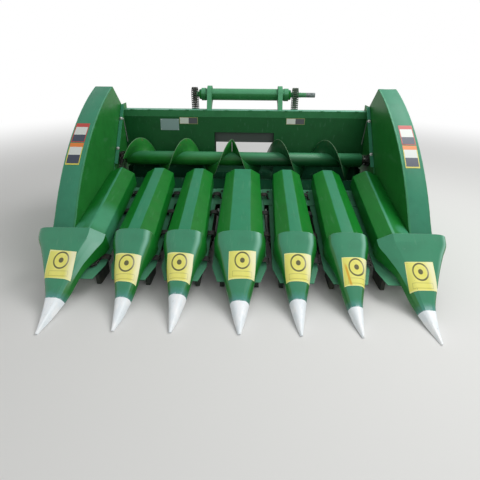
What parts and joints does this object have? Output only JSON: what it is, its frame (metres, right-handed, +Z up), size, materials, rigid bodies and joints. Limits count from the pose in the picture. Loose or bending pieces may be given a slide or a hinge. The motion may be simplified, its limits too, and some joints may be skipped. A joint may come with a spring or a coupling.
{
  "type": "row crop harvesting header",
  "caption": "Row-crop harvesting header for a combine: pointed snouts, gathering chains and stalk rolls in front of a cross auger, back wall, side shields and top jackshaft",
  "frame": {"origin": "centre of the bounding box, on the ground", "axes": "+X to the right seen from the front, +Y from the snout tips to the back, +Z up"},
  "size_m": [3.846, 3.03, 1.684],
  "materials": {
    "green_paint": "worn glossy green paint over steel sheet",
    "dark_green_paint": "green paint in shade, dusty and worn",
    "grey_paint": "dark matt paint with dirt",
    "chain_steel": "dark oiled chain steel",
    "bare_steel": "bare worn steel"
  },
  "bodies": {
    "header_frame": {"top_beam": "green_paint", "end_plate_left": "green_paint", "end_plate_right": "green_paint", "side_shield_left": "green_paint", "side_shield_right": "green_paint", "slot_covers": "green_paint", "jackshaft_tube": "green_paint", "back_wall": "dark_green_paint", "main_frame": "dark_green_paint", "trough": "dark_green_paint", "feeder_frame": "dark_green_paint", "deck_plates": "dark_green_paint", "hood_brackets": "dark_green_paint", "shaft_hangers": "dark_green_paint", "hood_1": "green_paint", "hood_2": "green_paint", "hood_3": "green_paint", "hood_4": "green_paint", "hood_5": "green_paint", "hood_6": "green_paint", "hood_7": "green_paint", "row_frame_1": "grey_paint", "chain_1": "chain_steel", "row_frame_2": "grey_paint", "chain_2": "chain_steel", "row_frame_3": "grey_paint", "chain_3": "chain_steel", "row_frame_4": "grey_paint", "chain_4": "chain_steel", "row_frame_5": "grey_paint", "chain_5": "chain_steel", "row_frame_6": "grey_paint", "chain_6": "chain_steel", "auger_bearings": "bare_steel", "auger_chain": "chain_steel", "drive_chains": "chain_steel"},
    "auger": {"auger": "green_paint"},
    "jackshaft": {"jackshaft": "bare_steel"},
    "rear_shaft": {"rear_shaft": "bare_steel"},
    "cross_shaft": {"cross_shaft": "bare_steel"},
    "nose_1": {"nose_1": "green_paint"},
    "nose_2": {"nose_2": "green_paint"},
    "nose_3": {"nose_3": "green_paint"},
    "nose_4": {"nose_4": "green_paint"},
    "nose_5": {"nose_5": "green_paint"},
    "nose_6": {"nose_6": "green_paint"},
    "nose_7": {"nose_7": "green_paint"},
    "roll_left_1": {"roll_left_1": "bare_steel"},
    "roll_right_1": {"roll_right_1": "bare_steel"},
    "roll_left_2": {"roll_left_2": "bare_steel"},
    "roll_right_2": {"roll_right_2": "bare_steel"},
    "roll_left_3": {"roll_left_3": "bare_steel"},
    "roll_right_3": {"roll_right_3": "bare_steel"},
    "roll_left_4": {"roll_left_4": "bare_steel"},
    "roll_right_4": {"roll_right_4": "bare_steel"},
    "roll_left_5": {"roll_left_5": "bare_steel"},
    "roll_right_5": {"roll_right_5": "bare_steel"},
    "roll_left_6": {"roll_left_6": "bare_steel"},
    "roll_right_6": {"roll_right_6": "bare_steel"}
  },
  "joints": [
    {"name": "auger_spin", "type": "hinge", "parent": "header_frame", "child": "auger", "pos_m": [0, 0.81404, 0.815], "axis": [1, 0, 0], "continuous": true},
    {"name": "jackshaft_spin", "type": "hinge", "parent": "header_frame", "child": "jackshaft", "pos_m": [0, 1.40304, 1.556], "axis": [1, 0, 0], "continuous": true},
    {"name": "rear_shaft_spin", "type": "hinge", "parent": "header_frame", "child": "rear_shaft", "pos_m": [0, 1.40304, 0.56], "axis": [1, 0, 0], "continuous": true},
    {"name": "cross_shaft_spin", "type": "hinge", "parent": "header_frame", "child": "cross_shaft", "pos_m": [0, 0.4397, 0.38511], "axis": [1, 0, 0], "continuous": true},
    {"name": "nose_1_lift", "type": "hinge", "parent": "header_frame", "child": "nose_1", "pos_m": [-1.4675, -0.51138, 0.3749], "axis": [-1, 0, 0], "range_deg": [0, 30]},
    {"name": "nose_2_lift", "type": "hinge", "parent": "header_frame", "child": "nose_2", "pos_m": [-1.012, -0.51138, 0.3749], "axis": [-1, 0, 0], "range_deg": [0, 30]},
    {"name": "nose_3_lift", "type": "hinge", "parent": "header_frame", "child": "nose_3", "pos_m": [-0.528, -0.51138, 0.3749], "axis": [-1, 0, 0], "range_deg": [0, 30]},
    {"name": "nose_4_lift", "type": "hinge", "parent": "header_frame", "child": "nose_4", "pos_m": [0, -0.51138, 0.3749], "axis": [-1, 0, 0], "range_deg": [0, 30]},
    {"name": "nose_5_lift", "type": "hinge", "parent": "header_frame", "child": "nose_5", "pos_m": [0.528, -0.51138, 0.3749], "axis": [-1, 0, 0], "range_deg": [0, 30]},
    {"name": "nose_6_lift", "type": "hinge", "parent": "header_frame", "child": "nose_6", "pos_m": [1.012, -0.51138, 0.3749], "axis": [-1, 0, 0], "range_deg": [0, 30]},
    {"name": "nose_7_lift", "type": "hinge", "parent": "header_frame", "child": "nose_7", "pos_m": [1.4675, -0.51138, 0.3749], "axis": [-1, 0, 0], "range_deg": [0, 30]},
    {"name": "roll_left_1_spin", "type": "hinge", "parent": "header_frame", "child": "roll_left_1", "pos_m": [-1.304, -0.00919, 0.29789], "axis": [0, 0.9744, 0.225], "continuous": true},
    {"name": "roll_right_1_spin", "type": "hinge", "parent": "header_frame", "child": "roll_right_1", "pos_m": [-1.204, -0.00919, 0.29789], "axis": [0, 0.9744, 0.225], "continuous": true},
    {"name": "roll_left_2_spin", "type": "hinge", "parent": "header_frame", "child": "roll_left_2", "pos_m": [-0.82, -0.00919, 0.29789], "axis": [0, 0.9744, 0.225], "continuous": true},
    {"name": "roll_right_2_spin", "type": "hinge", "parent": "header_frame", "child": "roll_right_2", "pos_m": [-0.72, -0.00919, 0.29789], "axis": [0, 0.9744, 0.225], "continuous": true},
    {"name": "roll_left_3_spin", "type": "hinge", "parent": "header_frame", "child": "roll_left_3", "pos_m": [-0.336, -0.00919, 0.29789], "axis": [0, 0.9744, 0.225], "continuous": true},
    {"name": "roll_right_3_spin", "type": "hinge", "parent": "header_frame", "child": "roll_right_3", "pos_m": [-0.236, -0.00919, 0.29789], "axis": [0, 0.9744, 0.225], "continuous": true},
    {"name": "roll_left_4_spin", "type": "hinge", "parent": "header_frame", "child": "roll_left_4", "pos_m": [0.236, -0.00919, 0.29789], "axis": [0, 0.9744, 0.225], "continuous": true},
    {"name": "roll_right_4_spin", "type": "hinge", "parent": "header_frame", "child": "roll_right_4", "pos_m": [0.336, -0.00919, 0.29789], "axis": [0, 0.9744, 0.225], "continuous": true},
    {"name": "roll_left_5_spin", "type": "hinge", "parent": "header_frame", "child": "roll_left_5", "pos_m": [0.72, -0.00919, 0.29789], "axis": [0, 0.9744, 0.225], "continuous": true},
    {"name": "roll_right_5_spin", "type": "hinge", "parent": "header_frame", "child": "roll_right_5", "pos_m": [0.82, -0.00919, 0.29789], "axis": [0, 0.9744, 0.225], "continuous": true},
    {"name": "roll_left_6_spin", "type": "hinge", "parent": "header_frame", "child": "roll_left_6", "pos_m": [1.204, -0.00919, 0.29789], "axis": [0, 0.9744, 0.225], "continuous": true},
    {"name": "roll_right_6_spin", "type": "hinge", "parent": "header_frame", "child": "roll_right_6", "pos_m": [1.304, -0.00919, 0.29789], "axis": [0, 0.9744, 0.225], "continuous": true}
  ],
  "couplings": [
    {"joint": "roll_right_1_spin", "follows": "roll_left_1_spin", "ratio": -1},
    {"joint": "roll_right_2_spin", "follows": "roll_left_2_spin", "ratio": -1},
    {"joint": "roll_right_3_spin", "follows": "roll_left_3_spin", "ratio": -1},
    {"joint": "roll_right_4_spin", "follows": "roll_left_4_spin", "ratio": -1},
    {"joint": "roll_right_5_spin", "follows": "roll_left_5_spin", "ratio": -1},
    {"joint": "roll_right_6_spin", "follows": "roll_left_6_spin", "ratio": -1}
  ]
}
